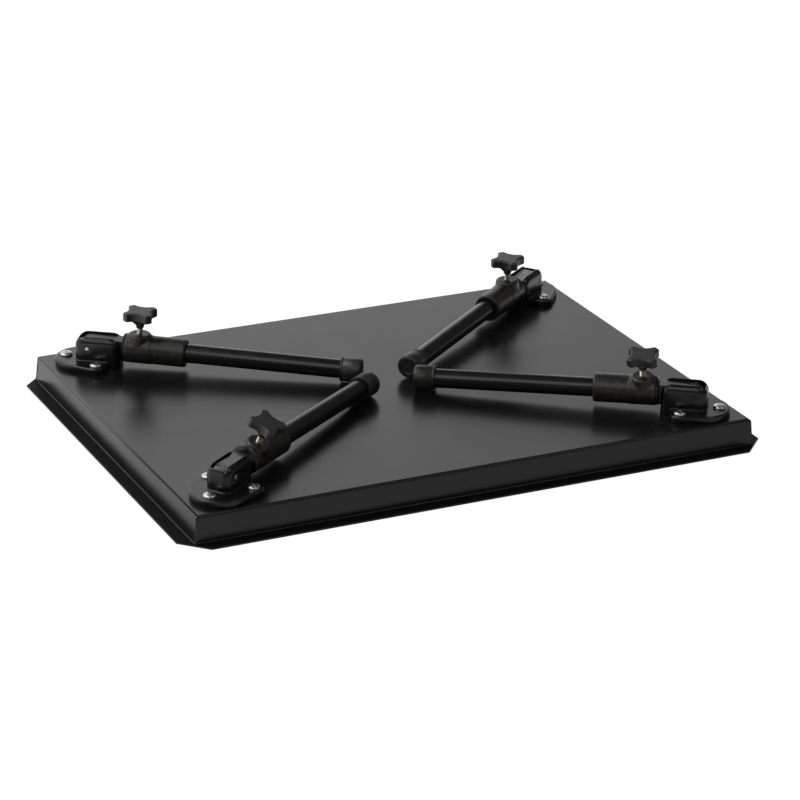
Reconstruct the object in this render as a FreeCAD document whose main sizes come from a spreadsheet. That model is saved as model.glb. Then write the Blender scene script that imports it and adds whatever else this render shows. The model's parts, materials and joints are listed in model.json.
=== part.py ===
import FreeCAD, Part
import math
import os
import Sketcher

# Folding tray platform, lying on its open side with the four legs folded in.
# Millimetres, +Z up.  The origin is the middle of the floor under the flange,
# +X runs along the long side and +Y to the rear.

SIZES = {
    # Deck tray: folded sheet, open side down, flange turned out all round.
    "deck_length": (580.0, "long side of the flat face"),
    "deck_width": (423.0, "short side of the flat face"),
    "deck_depth": (28.0, "floor to the flat face"),
    "sheet_gauge": (1.5, "thickness of the sheet"),
    "wall_flare": (2.2, "how far a wall's foot stands outside its head"),
    "flange_reach": (13.8, "flange width outside the wall's foot"),
    "flange_land": (2.0, "diagonal land between a wall's corner and the flange's cut"),
    "bend_radius": (3.0, "outside radius of the bend at the face"),
    "foot_radius": (1.2, "radius of the bend at the flange"),
    # Where the four hinges stand.
    "pivot_inset_long": (42.5, "hinge from the short edge of the face"),
    "pivot_inset_short": (37.2, "hinge from the long edge of the face"),
    "front_left_turn": (36.2, "angle of the leg from the long side, degrees"),
    "front_right_turn": (35.2, "angle of the leg from the long side, degrees"),
    "rear_left_turn": (34.2, "angle of the leg from the long side, degrees"),
    "rear_right_turn": (36.7, "angle of the leg from the long side, degrees"),
    # Hinge bracket: base with a round back and two ears, and a slotted housing.
    "plate_height": (6.5, "thickness of the bracket's base"),
    "plate_edge": (1.0, "chamfer of the base's upper edge"),
    "plate_back_reach": (7.0, "hinge to the middle of the base's round back"),
    "plate_back_radius": (28.5, "round back of the base"),
    "ear_radius": (10.0, "radius of the two side ears"),
    "outer_screw_reach": (25.0, "hinge to the screw at the corner"),
    "side_ear_reach": (11.6, "hinge to the side ears, along the leg"),
    "side_ear_spread": (24.0, "hinge to the side ears, across the leg"),
    "housing_back": (13.5, "hinge to the closed end"),
    "housing_front": (32.0, "hinge to the open end"),
    "housing_width": (26.0, "width over the cheeks"),
    "housing_height": (31.0, "height above the face"),
    "housing_crown": (10.0, "corners of the cheeks, seen from the side"),
    "housing_round": (7.0, "rounding along the edge of a cheek"),
    "slot_width": (16.0, "gap between the cheeks"),
    "slot_floor": (0.4, "slot floor above the base"),
    # Hinge pin.
    "pin_height": (18.8, "pin above the face"),
    "pin_diameter": (5.0, "pin"),
    "pin_proud": (0.5, "rivet head outside its cheek"),
    "pin_sunk": (0.4, "plain end of the rivet inside its cheek"),
    "pin_fit": (0.05, "radial play of the tongue on the pin"),
    "press_gap": (0.02, "radial gap of a pressed-in piece"),
    # Screws and nuts of a bracket.
    "screw_diameter": (5.0, "thread"),
    "screw_head_diameter": (12.6, "pan head"),
    "screw_head_height": (3.1, "pan head"),
    "screw_head_slope": (1.4, "chamfer of the pan head"),
    "screw_hole_gap": (0.25, "radial gap round a screw"),
    "nut_flats": (8.0, "nut across its flats"),
    "nut_height": (4.0, "nut"),
    "thread_stick": (1.5, "screw's end below its nut"),
    # Hinge knuckle: tongue, shoulder and the neck that is riveted over in the socket.
    "tongue_play": (0.3, "gap beside the tongue, each side"),
    "tongue_radius": (10.0, "half the height of the tongue"),
    "axis_rise": (1.4, "leg's axis above the pin"),
    "shoulder_start": (34.5, "hinge to the shoulder"),
    "shoulder_edge": (0.8, "chamfer of the shoulder"),
    "neck_diameter": (11.0, "neck in the socket's end wall"),
    "neck_fit": (0.05, "radial play of the socket on the neck"),
    "neck_head_diameter": (15.0, "riveted head of the neck"),
    "neck_head_height": (2.0, "riveted head of the neck"),
    "turn_gap": (0.2, "gap beside the socket's end wall, each side"),
    # Leg socket: collar with a clamp boss, which turns on the knuckle.
    "collar_start": (36.4, "hinge to the collar"),
    "collar_length": (62.0, "collar"),
    "collar_wall": (4.75, "collar and shoulder outside the tube"),
    "collar_edge": (1.0, "chamfer of the collar's ends"),
    "band_rise": (0.4, "raised band on the collar under the boss"),
    "band_length": (26.6, "collar's start to the far side of the band"),
    "end_wall": (2.0, "thickness of the socket's end wall"),
    "boss_diameter": (23.0, "top of the clamp boss"),
    "boss_foot_inset": (0.25, "side of the clamp boss inside the collar, at the leg's axis"),
    "boss_setback": (0.1, "clamp boss from the collar's start, at the leg's axis"),
    "boss_cover": (7.1, "top of the boss above the tube"),
    "boss_edge": (1.5, "chamfer of the boss"),
    "front_left_roll": (24.0, "turn of the socket on its knuckle, degrees"),
    "front_right_roll": (-9.0, "turn of the socket on its knuckle, degrees"),
    "rear_left_roll": (0.0, "turn of the socket on its knuckle, degrees"),
    "rear_right_roll": (0.0, "turn of the socket on its knuckle, degrees"),
    # Leg tube and foot cap.
    "tube_diameter": (19.0, "leg tube"),
    "tube_wall": (1.2, "leg tube"),
    "tube_fit": (0.05, "radial play of the tube in the collar"),
    "tube_end_gap": (1.0, "tube's end to the riveted head"),
    "leg_reach": (276.0, "hinge to the end of the foot cap"),
    "cap_wall": (2.8, "foot cap outside the tube"),
    "cap_length": (21.0, "foot cap"),
    "cap_floor": (4.0, "thickness of the cap's end"),
    "cap_edge": (1.8, "chamfer of the cap's end"),
    "cap_lip": (0.8, "chamfer of the cap's mouth"),
    "cap_rest_gap": (0.4, "folded cap above the face"),
    # Clamp screw and its four-lobed knob.
    "stud_diameter": (6.0, "clamp screw"),
    "stud_fit": (0.05, "radial play of the clamp screw"),
    "stud_tip_gap": (0.05, "clamp screw's tip to the tube"),
    "stud_hole_gap": (0.3, "radial gap round the clamp screw below its insert"),
    "stud_show": (6.2, "bare screw between the boss and the hub"),
    "stud_grip": (13.0, "screw inside the knob"),
    "insert_diameter": (9.0, "threaded insert"),
    "insert_length": (6.0, "threaded insert"),
    "insert_sink": (0.4, "insert below the top of the boss"),
    "hub_diameter": (8.0, "lower end of the hub"),
    "hub_neck": (2.5, "straight part of the hub"),
    "hub_height": (9.5, "hub below the lobes"),
    "hub_flare": (22.5, "upper end of the hub"),
    "lobe_circle": (36.5, "circle round the lobes' tips"),
    "lobe_height": (8.5, "thickness of the lobes"),
    "scallop_radius": (15.5, "hollow between two lobes"),
    "waist_radius": (11.8, "axis to the bottom of a hollow"),
    "lobe_round": (2.4, "rounding of the lobes' upright edges"),
    "knob_edge": (1.1, "chamfer of the knob's upper rim"),
    "front_left_knob": (0.0, "turn of the knob from the leg, degrees"),
    "front_right_knob": (0.0, "turn of the knob from the leg, degrees"),
    "rear_left_knob": (-3.0, "turn of the knob from the leg, degrees"),
    "rear_right_knob": (5.0, "turn of the knob from the leg, degrees"),
    "cut_margin": (1.0, "how far a cut starts and ends outside its piece"),
}

# Sizes that follow from the ones above.
FOLLOWING_SIZES = {
    "collar_diameter": "tube_diameter + 2 * collar_wall",
    "band_diameter": "collar_diameter + 2 * band_rise",
    "boss_foot_diameter": "collar_diameter - 2 * boss_foot_inset",
    "boss_centre": "collar_start + boss_setback + boss_foot_diameter / 2",
    "boss_rise": "tube_diameter / 2 + boss_cover",
    "cap_diameter": "tube_diameter + 2 * cap_wall",
}

# Name of a corner: side along X, side along Y.
CORNERS = {
    "front_left": (-1, -1),
    "front_right": (1, -1),
    "rear_left": (-1, 1),
    "rear_right": (1, 1),
}

FULL_TURN = 360.0
HEX_SIDES = 6
LOBES = 4
TOLERANCE = 1e-6
LENGTH_MATCH = 1e-4

document = FreeCAD.newDocument("tray_platform")


def make_sheet():
    """Write the driving and following sizes, one aliased cell each."""
    sheet = document.addObject("Spreadsheet::Sheet", "sizes")
    for row, (alias, (number, note)) in enumerate(SIZES.items(), start=1):
        sheet.set(f"A{row}", note)
        sheet.set(f"B{row}", str(number))
        sheet.setAlias(f"B{row}", alias)
    for row, (alias, formula) in enumerate(FOLLOWING_SIZES.items(), start=row + 1):
        sheet.set(f"B{row}", f"={formula}")
        sheet.setAlias(f"B{row}", alias)
    document.recompute()
    return sheet


sheet = make_sheet()


def full(expression):
    """Put the sheet's name before every alias in an expression."""
    words = []
    word = ""
    for letter in expression + " ":
        if letter.isalnum() or letter == "_":
            word += letter
            continue
        known = word in SIZES or word in FOLLOWING_SIZES
        words.append(f"sizes.{word}" if known else word)
        words.append(letter)
        word = ""
    return "".join(words).strip()


def value(expression):
    """Number that an expression of sheet aliases gives."""
    result = sheet.evalExpression(full(expression))
    return float(getattr(result, "Value", result))


def new_body(label):
    body = document.addObject("PartDesign::Body", label)
    body.Label = label
    return body


def origin_plane(body, role):
    return next(item for item in body.Origin.OriginFeatures if item.Role == role)


def new_sketch(body, name, role, lift="0"):
    """Sketch on one of the body's origin planes, lifted along its normal."""
    sketch = body.newObject("Sketcher::SketchObject", name)
    sketch.AttachmentSupport = [(origin_plane(body, role), "")]
    sketch.MapMode = "FlatFace"
    sketch.setExpression("AttachmentOffset.Base.z", full(lift))
    return sketch


def pin_point(sketch, geometry, position, x, y):
    """Hold a point of the sketch at two expressions from the origin."""
    for kind, expression in (("DistanceX", x), ("DistanceY", y)):
        index = sketch.addConstraint(
            Sketcher.Constraint(kind, -1, 1, geometry, position, value(expression)))
        sketch.setExpression(f"Constraints[{index}]", full(expression))


def add_circle(sketch, x, y, radius):
    centre = FreeCAD.Vector(value(x), value(y), 0)
    up = FreeCAD.Vector(0, 0, 1)
    index = sketch.addGeometry(Part.Circle(centre, up, value(radius)), False)
    pin_point(sketch, index, 3, x, y)
    held = sketch.addConstraint(Sketcher.Constraint("Radius", index, value(radius)))
    sketch.setExpression(f"Constraints[{held}]", full(radius))
    return index


def add_polygon(sketch, corners):
    """Closed outline whose corners are pairs of expressions."""
    points = [FreeCAD.Vector(value(x), value(y), 0) for x, y in corners]
    count = len(points)
    first = sketch.GeometryCount
    for here in range(count):
        ahead = (here + 1) % count
        sketch.addGeometry(Part.LineSegment(points[here], points[ahead]), False)
    for here in range(count):
        ahead = (here + 1) % count
        sketch.addConstraint(
            Sketcher.Constraint("Coincident", first + here, 2, first + ahead, 1))
        pin_point(sketch, first + here, 1, *corners[here])


def add_rectangle(sketch, left, right, low, high):
    add_polygon(sketch, [(left, low), (right, low), (right, high), (left, high)])


def add_hull(sketch, circles):
    """Outline round circles, given anticlockwise: arcs and their common tangents."""
    count = len(circles)
    centres = [FreeCAD.Vector(value(x), value(y), 0) for x, y, _ in circles]
    radii = [value(radius) for _, _, radius in circles]
    up = FreeCAD.Vector(0, 0, 1)
    outward = []
    for here in range(count):
        ahead = (here + 1) % count
        along = centres[ahead] - centres[here]
        lean = math.asin((radii[here] - radii[ahead]) / along.Length)
        outward.append(math.atan2(along.y, along.x) - math.pi / 2 + lean)
    first = sketch.GeometryCount
    for here in range(count):
        start = outward[here - 1]
        end = outward[here]
        if end < start:
            end += 2 * math.pi
        circle = Part.Circle(centres[here], up, radii[here])
        sketch.addGeometry(Part.ArcOfCircle(circle, start, end), False)
    for here in range(count):
        ahead = (here + 1) % count
        side = FreeCAD.Vector(math.cos(outward[here]), math.sin(outward[here]), 0)
        tail = centres[here] + side * radii[here]
        head = centres[ahead] + side * radii[ahead]
        sketch.addGeometry(Part.LineSegment(tail, head), False)
    for here in range(count):
        ahead = (here + 1) % count
        line = first + count + here
        sketch.addConstraint(Sketcher.Constraint("Tangent", first + here, 2, line, 1))
        sketch.addConstraint(Sketcher.Constraint("Tangent", line, 2, first + ahead, 1))
        x, y, radius = circles[here]
        pin_point(sketch, first + here, 3, x, y)
        held = sketch.addConstraint(
            Sketcher.Constraint("Radius", first + here, radii[here]))
        sketch.setExpression(f"Constraints[{held}]", full(radius))


def extrude(body, kind, name, profile, length, both_ways=False, reverse=False):
    """Pad or pocket of a sketch; both_ways spreads the length over both sides."""
    feature = body.newObject(f"PartDesign::{kind}", name)
    feature.Profile = profile
    feature.setExpression("Length", full(length))
    feature.SideType = "Symmetric" if both_ways else "One side"
    feature.Reversed = reverse
    document.recompute()
    return feature


def checked_cut(body, kind, name, profile, length, both_ways=False, reverse=False):
    """Pocket that has to take material away."""
    before = body.Shape.Volume
    feature = extrude(body, kind, name, profile, length, both_ways, reverse)
    if not body.Shape.Volume < before - TOLERANCE:
        raise RuntimeError(f"{body.Label}: {name} cuts nothing")
    return feature


def revolve(body, kind, name, profile):
    """Revolution or groove of a sketch round the body's Z axis."""
    axis = origin_plane(body, "Z_Axis")
    feature = body.newObject(f"PartDesign::{kind}", name)
    feature.Profile = profile
    feature.ReferenceAxis = (axis, [""])
    feature.Angle = FULL_TURN
    document.recompute()
    return feature


def is_upright(edge):
    """Whether the edge is a straight line along Z."""
    ends = edge.Vertexes[0].Point - edge.Vertexes[-1].Point
    return near(math.hypot(ends.x, ends.y), 0) and near(abs(ends.z), edge.Length)


def edges_where(shape, test, upright):
    """Names of the edges whose every end and middle point passes the test."""
    names = []
    for index, edge in enumerate(shape.Edges, start=1):
        middle = edge.valueAt((edge.FirstParameter + edge.LastParameter) / 2)
        points = [vertex.Point for vertex in edge.Vertexes] + [middle]
        if upright and not is_upright(edge):
            continue
        if all(test(point) for point in points):
            names.append(f"Edge{index}")
    return names


def faces_where(shape, test):
    """Names of the flat faces whose normal passes the test."""
    names = []
    for index, face in enumerate(shape.Faces, start=1):
        if isinstance(face.Surface, Part.Plane) and test(face.normalAt(0, 0)):
            names.append(f"Face{index}")
    return names


def round_edges(body, name, base, test, radius, kind="Fillet", upright=False):
    """Fillet or chamfer of the base's edges that pass the test."""
    feature = body.newObject(f"PartDesign::{kind}", name)
    feature.Base = (base, edges_where(base.Shape, test, upright))
    feature.setExpression("Radius" if kind == "Fillet" else "Size", full(radius))
    document.recompute()
    return feature


def near(first, second):
    return abs(first - second) < LENGTH_MATCH


def place(item, expression):
    item.setExpression("Placement", full(expression))


def hinge_place(corner):
    """Placement of a corner's hinge: on the face, X along the leg."""
    side_x, side_y = CORNERS[corner]
    x = f"({side_x}) * (deck_length / 2 - pivot_inset_long)"
    y = f"({side_y}) * (deck_width / 2 - pivot_inset_short)"
    heading = f"{90 * (1 + side_x)} + ({side_x * side_y}) * {corner}_turn"
    return (f"placement(vector({x}; {y}; deck_depth);"
            f" rotation(vector(0; 0; 1); {heading}))")


def leg_place(corner):
    """Placement of a folded leg: on the pin, X along the tube, tilted to the face."""
    drop = "pin_height + axis_rise - cap_diameter / 2 - cap_rest_gap"
    tilt = f"asin(({drop}) / leg_reach)"
    return (f"{hinge_place(corner)} * placement(vector(0; 0; pin_height);"
            f" rotation(vector(0; 1; 0); {tilt}))")


def socket_place(corner):
    """Placement of a leg socket: on the leg's axis, turned on its knuckle."""
    return (f"{leg_place(corner)} * placement(vector(0; 0; axis_rise);"
            f" rotation(vector(1; 0; 0); {corner}_roll))")


def knob_place(corner):
    """Placement of a clamp knob: on the clamp screw's axis at the leg's axis."""
    return (f"{socket_place(corner)} * placement(vector(boss_centre; 0; 0);"
            f" rotation(vector(0; 0; 1); {corner}_knob))")


def screw_spots():
    """The three screws of a bracket, from its hinge."""
    return [
        ("-outer_screw_reach", "0"),
        ("side_ear_reach", "-side_ear_spread"),
        ("side_ear_reach", "side_ear_spread"),
    ]


def deck_screw_spots(corner):
    """The same screws from the middle of the deck, as expressions."""
    side_x, side_y = CORNERS[corner]
    spots = []
    for along, aside in screw_spots():
        turn = f"{corner}_turn"
        inward = f"(({along}) * cos({turn}) - ({aside}) * sin({turn}))"
        upward = f"(({along}) * sin({turn}) + ({aside}) * cos({turn}))"
        x = f"({side_x}) * (deck_length / 2 - pivot_inset_long - {inward})"
        y = f"({side_y}) * (deck_width / 2 - pivot_inset_short - {upward})"
        spots.append((x, y))
    return spots


def build_deck_tray():
    """Folded tray: face, four flared walls and the flange with its corners cut."""
    body = new_body("deck_tray")
    foot_x = "(deck_length / 2 + wall_flare)"
    foot_y = "(deck_width / 2 + wall_flare)"
    depth = value("deck_depth")
    gauge = value("sheet_gauge")
    foot_sketch = new_sketch(body, "wall_foot", "XY_Plane")
    add_rectangle(foot_sketch, f"-{foot_x}", foot_x, f"-{foot_y}", foot_y)
    block = extrude(body, "Pad", "block", foot_sketch, "deck_depth")

    flare = body.newObject("PartDesign::Draft", "flare")
    flare.Base = (block, faces_where(block.Shape, lambda normal: near(normal.z, 0)))
    flare.NeutralPlane = (origin_plane(body, "XY_Plane"), [""])
    flare.setExpression("Angle", full("atan(wall_flare / deck_depth)"))
    document.recompute()
    bend = round_edges(
        body, "face_bend", flare, lambda point: near(point.z, depth), "bend_radius")

    shell = body.newObject("PartDesign::Thickness", "shell")
    shell.Base = (bend, faces_where(bend.Shape, lambda normal: near(normal.z, -1)))
    shell.setExpression("Value", full("sheet_gauge"))
    shell.Reversed = True
    document.recompute()

    rim_x = f"({foot_x} + flange_reach)"
    rim_y = f"({foot_y} + flange_reach)"
    cut = "(2 * flange_reach - flange_land * sqrt(2))"
    flange_sketch = new_sketch(body, "flange_outline", "XY_Plane")
    add_polygon(flange_sketch, [
        (f"-{rim_x} + {cut}", f"-{rim_y}"),
        (f"{rim_x} - {cut}", f"-{rim_y}"),
        (rim_x, f"-{rim_y} + {cut}"),
        (rim_x, f"{rim_y} - {cut}"),
        (f"{rim_x} - {cut}", rim_y),
        (f"-{rim_x} + {cut}", rim_y),
        (f"-{rim_x}", f"{rim_y} - {cut}"),
        (f"-{rim_x}", f"-{rim_y} + {cut}"),
    ])
    hidden_x = f"({foot_x} - sheet_gauge / 2)"
    hidden_y = f"({foot_y} - sheet_gauge / 2)"
    add_rectangle(
        flange_sketch, f"-{hidden_x}", hidden_x, f"-{hidden_y}", hidden_y)
    flange = extrude(body, "Pad", "flange", flange_sketch, "sheet_gauge")

    wall_x = value("deck_length / 2")
    wall_y = value("deck_width / 2")
    slack = value("wall_flare") + LENGTH_MATCH
    bend = round_edges(
        body, "foot_bend", flange,
        lambda point: near(point.z, gauge)
        and abs(point.x) < wall_x + slack and abs(point.y) < wall_y + slack,
        "foot_radius")
    round_edges(
        body, "foot_underside", bend,
        lambda point: near(point.z, 0)
        and abs(point.x) < wall_x + slack and abs(point.y) < wall_y + slack,
        "foot_radius + sheet_gauge")

    holes = new_sketch(body, "screw_holes", "XY_Plane", "deck_depth + cut_margin")
    for corner in CORNERS:
        for x, y in deck_screw_spots(corner):
            add_circle(holes, x, y, "screw_diameter / 2 + screw_hole_gap")
    checked_cut(
        body, "Pocket", "screw_clearance", holes, "sheet_gauge + 2 * cut_margin")
    return body


def build_hinge_bracket(corner):
    """Cast bracket: eared base, slotted housing, bores for the pin and screws."""
    body = new_body(f"{corner}_hinge_bracket")
    base_sketch = new_sketch(body, "base_outline", "XY_Plane")
    add_hull(base_sketch, [
        ("-plate_back_reach", "0", "plate_back_radius"),
        ("side_ear_reach", "-side_ear_spread", "ear_radius"),
        ("side_ear_reach", "side_ear_spread", "ear_radius"),
    ])
    base = extrude(body, "Pad", "base", base_sketch, "plate_height")
    top = value("plate_height")
    round_edges(
        body, "base_edge", base, lambda point: near(point.z, top), "plate_edge",
        kind="Chamfer")

    housing_sketch = new_sketch(body, "housing_outline", "XZ_Plane")
    add_rectangle(
        housing_sketch, "-housing_back", "housing_front", "0", "housing_height")
    housing = extrude(
        body, "Pad", "housing", housing_sketch, "housing_width", both_ways=True)
    height = value("housing_height")
    back = -value("housing_back")
    front = value("housing_front")
    cheek = value("housing_width / 2")
    housing = round_edges(
        body, "crown", housing,
        lambda point: near(point.z, height)
        and (near(point.x, back) or near(point.x, front)),
        "housing_crown")
    round_edges(
        body, "cheek_rounding", housing,
        lambda point: near(abs(point.y), cheek)
        and (point.z > top + LENGTH_MATCH or near(point.x, back)
             or near(point.x, front)),
        "housing_round")

    slot_sketch = new_sketch(body, "slot_outline", "XY_Plane", "housing_height")
    add_rectangle(
        slot_sketch, "-tongue_radius - tongue_play", "housing_front + cut_margin",
        "-slot_width / 2", "slot_width / 2")
    checked_cut(
        body, "Pocket", "slot", slot_sketch,
        "housing_height - plate_height - slot_floor")
    pin_sketch = new_sketch(body, "pin_bore_outline", "XZ_Plane")
    add_circle(pin_sketch, "0", "pin_height", "pin_diameter / 2 + press_gap")
    checked_cut(
        body, "Pocket", "pin_bore", pin_sketch, "housing_width + 2 * cut_margin",
        both_ways=True)
    screw_sketch = new_sketch(body, "screw_hole_outlines", "XY_Plane", "plate_height")
    for x, y in screw_spots():
        add_circle(screw_sketch, x, y, "screw_diameter / 2 + screw_hole_gap")
    checked_cut(
        body, "Pocket", "screw_holes", screw_sketch, "plate_height + cut_margin")
    place(body, hinge_place(corner))
    return body


def build_hinge_pin(corner):
    """Rivet through both cheeks, its head outside one and its end inside the other."""
    body = new_body(f"{corner}_hinge_pin")
    outline = new_sketch(body, "pin_outline", "XZ_Plane", "housing_width / 2 + pin_proud")
    add_circle(outline, "0", "pin_height", "pin_diameter / 2")
    pin = extrude(
        body, "Pad", "pin", outline, "housing_width + pin_proud - pin_sunk",
        reverse=True)
    head = -value("housing_width / 2 + pin_proud")
    round_edges(
        body, "rivet_head", pin, lambda point: near(point.y, head),
        "pin_proud", kind="Chamfer")
    place(body, hinge_place(corner))
    return body


def build_bracket_screws(corner):
    """Three pan-head machine screws."""
    body = new_body(f"{corner}_bracket_screws")
    shank = "plate_height + sheet_gauge + nut_height + thread_stick"
    head_sketch = new_sketch(body, "head_outlines", "XY_Plane", "plate_height")
    shank_sketch = new_sketch(body, "shank_outlines", "XY_Plane", "plate_height")
    for x, y in screw_spots():
        add_circle(head_sketch, x, y, "screw_head_diameter / 2")
        add_circle(shank_sketch, x, y, "screw_diameter / 2")
    heads = extrude(body, "Pad", "heads", head_sketch, "screw_head_height")
    crown = value("plate_height + screw_head_height")
    round_edges(
        body, "head_slope", heads, lambda point: near(point.z, crown),
        "screw_head_slope", kind="Chamfer")
    extrude(body, "Pad", "shanks", shank_sketch, shank, reverse=True)
    place(body, hinge_place(corner))
    return body


def build_bracket_nuts(corner):
    """Three hexagon nuts under the face, inside the tray."""
    label = f"{corner}_bracket_nuts"
    nuts = []
    for number, (x, y) in enumerate(screw_spots(), start=1):
        spot = f"placement(vector({x}; {y}; -sheet_gauge - nut_height); rotation(0; 0; 0))"
        blank = document.addObject("Part::Prism", f"{label}_blank_{number}")
        blank.Polygon = HEX_SIDES
        blank.setExpression("Circumradius", full("nut_flats / 2 / cos(30)"))
        blank.setExpression("Height", full("nut_height"))
        thread = document.addObject("Part::Cylinder", f"{label}_thread_{number}")
        thread.setExpression("Radius", full("screw_diameter / 2 + press_gap"))
        thread.setExpression("Height", full("nut_height"))
        nut = document.addObject("Part::Cut", f"{label}_{number}")
        nut.Base = blank
        nut.Tool = thread
        place(nut, spot)
        nuts.append(nut)
    group = document.addObject("Part::Compound", label)
    group.Label = label
    group.Links = nuts
    place(group, hinge_place(corner))
    return group


def build_hinge_knuckle(corner):
    """Tongue on the pin, shoulder, and the riveted neck that the socket turns on."""
    body = new_body(f"{corner}_hinge_knuckle")
    shoulder_sketch = new_sketch(body, "shoulder_outline", "YZ_Plane", "shoulder_start")
    add_circle(shoulder_sketch, "0", "axis_rise", "collar_diameter / 2")
    shoulder = extrude(
        body, "Pad", "shoulder", shoulder_sketch,
        "collar_start - turn_gap - shoulder_start")
    start = value("shoulder_start")
    round_edges(
        body, "shoulder_rim", shoulder, lambda point: near(point.x, start),
        "shoulder_edge", kind="Chamfer")

    neck_sketch = new_sketch(body, "neck_outline", "YZ_Plane", "collar_start - turn_gap")
    add_circle(neck_sketch, "0", "axis_rise", "neck_diameter / 2")
    extrude(body, "Pad", "neck", neck_sketch, "end_wall + 2 * turn_gap")
    head_sketch = new_sketch(
        body, "neck_head_outline", "YZ_Plane", "collar_start + end_wall + turn_gap")
    add_circle(head_sketch, "0", "axis_rise", "neck_head_diameter / 2")
    extrude(body, "Pad", "neck_head", head_sketch, "neck_head_height")

    eye_sketch = new_sketch(body, "tongue_eye", "XZ_Plane")
    add_circle(eye_sketch, "0", "0", "tongue_radius")
    thickness = "slot_width - 2 * tongue_play"
    extrude(body, "Pad", "eye", eye_sketch, thickness, both_ways=True)
    arm_sketch = new_sketch(body, "tongue_arm", "XZ_Plane")
    add_rectangle(
        arm_sketch, "0", "shoulder_start + shoulder_edge",
        "-tongue_radius", "tongue_radius")
    extrude(body, "Pad", "arm", arm_sketch, thickness, both_ways=True)
    pin_sketch = new_sketch(body, "pin_hole_outline", "XZ_Plane")
    add_circle(pin_sketch, "0", "0", "pin_diameter / 2 + pin_fit")
    checked_cut(
        body, "Pocket", "pin_hole", pin_sketch, "slot_width + 2 * cut_margin",
        both_ways=True)
    place(body, leg_place(corner))
    return body


def build_leg_socket(corner):
    """Moulded socket: collar for the tube, clamp boss and the end wall it turns on."""
    body = new_body(f"{corner}_leg_socket")
    collar_sketch = new_sketch(body, "collar_outline", "YZ_Plane", "collar_start")
    add_circle(collar_sketch, "0", "0", "collar_diameter / 2")
    collar = extrude(body, "Pad", "collar", collar_sketch, "collar_length")
    start = value("collar_start")
    end = value("collar_start + collar_length")
    round_edges(
        body, "collar_edge", collar, lambda point: near(point.x, end), "collar_edge",
        kind="Chamfer")
    band_sketch = new_sketch(body, "band_outline", "YZ_Plane", "collar_start")
    add_circle(band_sketch, "0", "0", "band_diameter / 2")
    band = extrude(body, "Pad", "band", band_sketch, "band_length")
    round_edges(
        body, "band_edge", band, lambda point: near(point.x, start), "collar_edge",
        kind="Chamfer")

    boss = body.newObject("PartDesign::AdditiveCone", "boss")
    boss.AttachmentSupport = [(origin_plane(body, "XY_Plane"), "")]
    boss.MapMode = "FlatFace"
    boss.setExpression("AttachmentOffset.Base.x", full("boss_centre"))
    boss.setExpression("Radius1", full("boss_foot_diameter / 2"))
    boss.setExpression("Radius2", full("boss_diameter / 2"))
    boss.setExpression("Height", full("boss_rise"))
    document.recompute()
    crown = value("boss_rise")
    round_edges(
        body, "boss_edge", boss, lambda point: near(point.z, crown),
        "boss_edge", kind="Chamfer")

    neck_sketch = new_sketch(
        body, "neck_hole_outline", "YZ_Plane", "collar_start + end_wall + cut_margin")
    add_circle(neck_sketch, "0", "0", "neck_diameter / 2 + neck_fit")
    checked_cut(
        body, "Pocket", "neck_hole", neck_sketch, "end_wall + 2 * cut_margin")
    bore_sketch = new_sketch(
        body, "bore_outline", "YZ_Plane", "collar_start + collar_length")
    add_circle(bore_sketch, "0", "0", "tube_diameter / 2 + tube_fit")
    checked_cut(
        body, "Pocket", "tube_bore", bore_sketch, "collar_length - end_wall")
    insert_sketch = new_sketch(
        body, "insert_seat_outline", "XY_Plane", "boss_rise")
    add_circle(insert_sketch, "boss_centre", "0", "insert_diameter / 2 + press_gap")
    checked_cut(
        body, "Pocket", "insert_seat", insert_sketch, "insert_sink + insert_length")
    stud_sketch = new_sketch(body, "stud_hole_outline", "XY_Plane", "boss_rise")
    add_circle(stud_sketch, "boss_centre", "0", "stud_diameter / 2 + stud_hole_gap")
    checked_cut(body, "Pocket", "stud_hole", stud_sketch, "boss_rise")
    place(body, socket_place(corner))
    return body


def build_thread_insert(corner):
    """Brass sleeve pressed into the boss, which the clamp screw turns in."""
    body = new_body(f"{corner}_thread_insert")
    outline = new_sketch(
        body, "insert_outline", "XY_Plane", "boss_rise - insert_sink")
    add_circle(outline, "boss_centre", "0", "insert_diameter / 2")
    add_circle(outline, "boss_centre", "0", "stud_diameter / 2 + stud_fit")
    extrude(body, "Pad", "insert", outline, "insert_length", reverse=True)
    place(body, socket_place(corner))
    return body


def build_leg_tube(corner):
    """Round steel tube, one end in the collar and the other in the cap."""
    body = new_body(f"{corner}_leg_tube")
    near_end = (
        "collar_start + end_wall + turn_gap + neck_head_height + tube_end_gap")
    outline = new_sketch(body, "tube_outline", "YZ_Plane", near_end)
    add_circle(outline, "0", "0", "tube_diameter / 2")
    add_circle(outline, "0", "0", "tube_diameter / 2 - tube_wall")
    extrude(body, "Pad", "tube", outline, f"leg_reach - cap_floor - ({near_end})")
    place(body, socket_place(corner))
    return body


def build_foot_cap(corner):
    """Push-on rubber cap over the end of the tube."""
    body = new_body(f"{corner}_foot_cap")
    outline = new_sketch(body, "cap_outline", "YZ_Plane", "leg_reach - cap_length")
    add_circle(outline, "0", "0", "cap_diameter / 2")
    cap = extrude(body, "Pad", "cap", outline, "cap_length")
    mouth = value("leg_reach - cap_length")
    end = value("leg_reach")
    cap = round_edges(
        body, "cap_end", cap, lambda point: near(point.x, end), "cap_edge",
        kind="Chamfer")
    round_edges(
        body, "cap_mouth", cap, lambda point: near(point.x, mouth), "cap_lip",
        kind="Chamfer")
    seat = new_sketch(body, "seat_outline", "YZ_Plane", "leg_reach - cap_floor")
    add_circle(seat, "0", "0", "tube_diameter / 2 + press_gap")
    checked_cut(body, "Pocket", "seat", seat, "cap_length")
    place(body, socket_place(corner))
    return body


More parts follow.
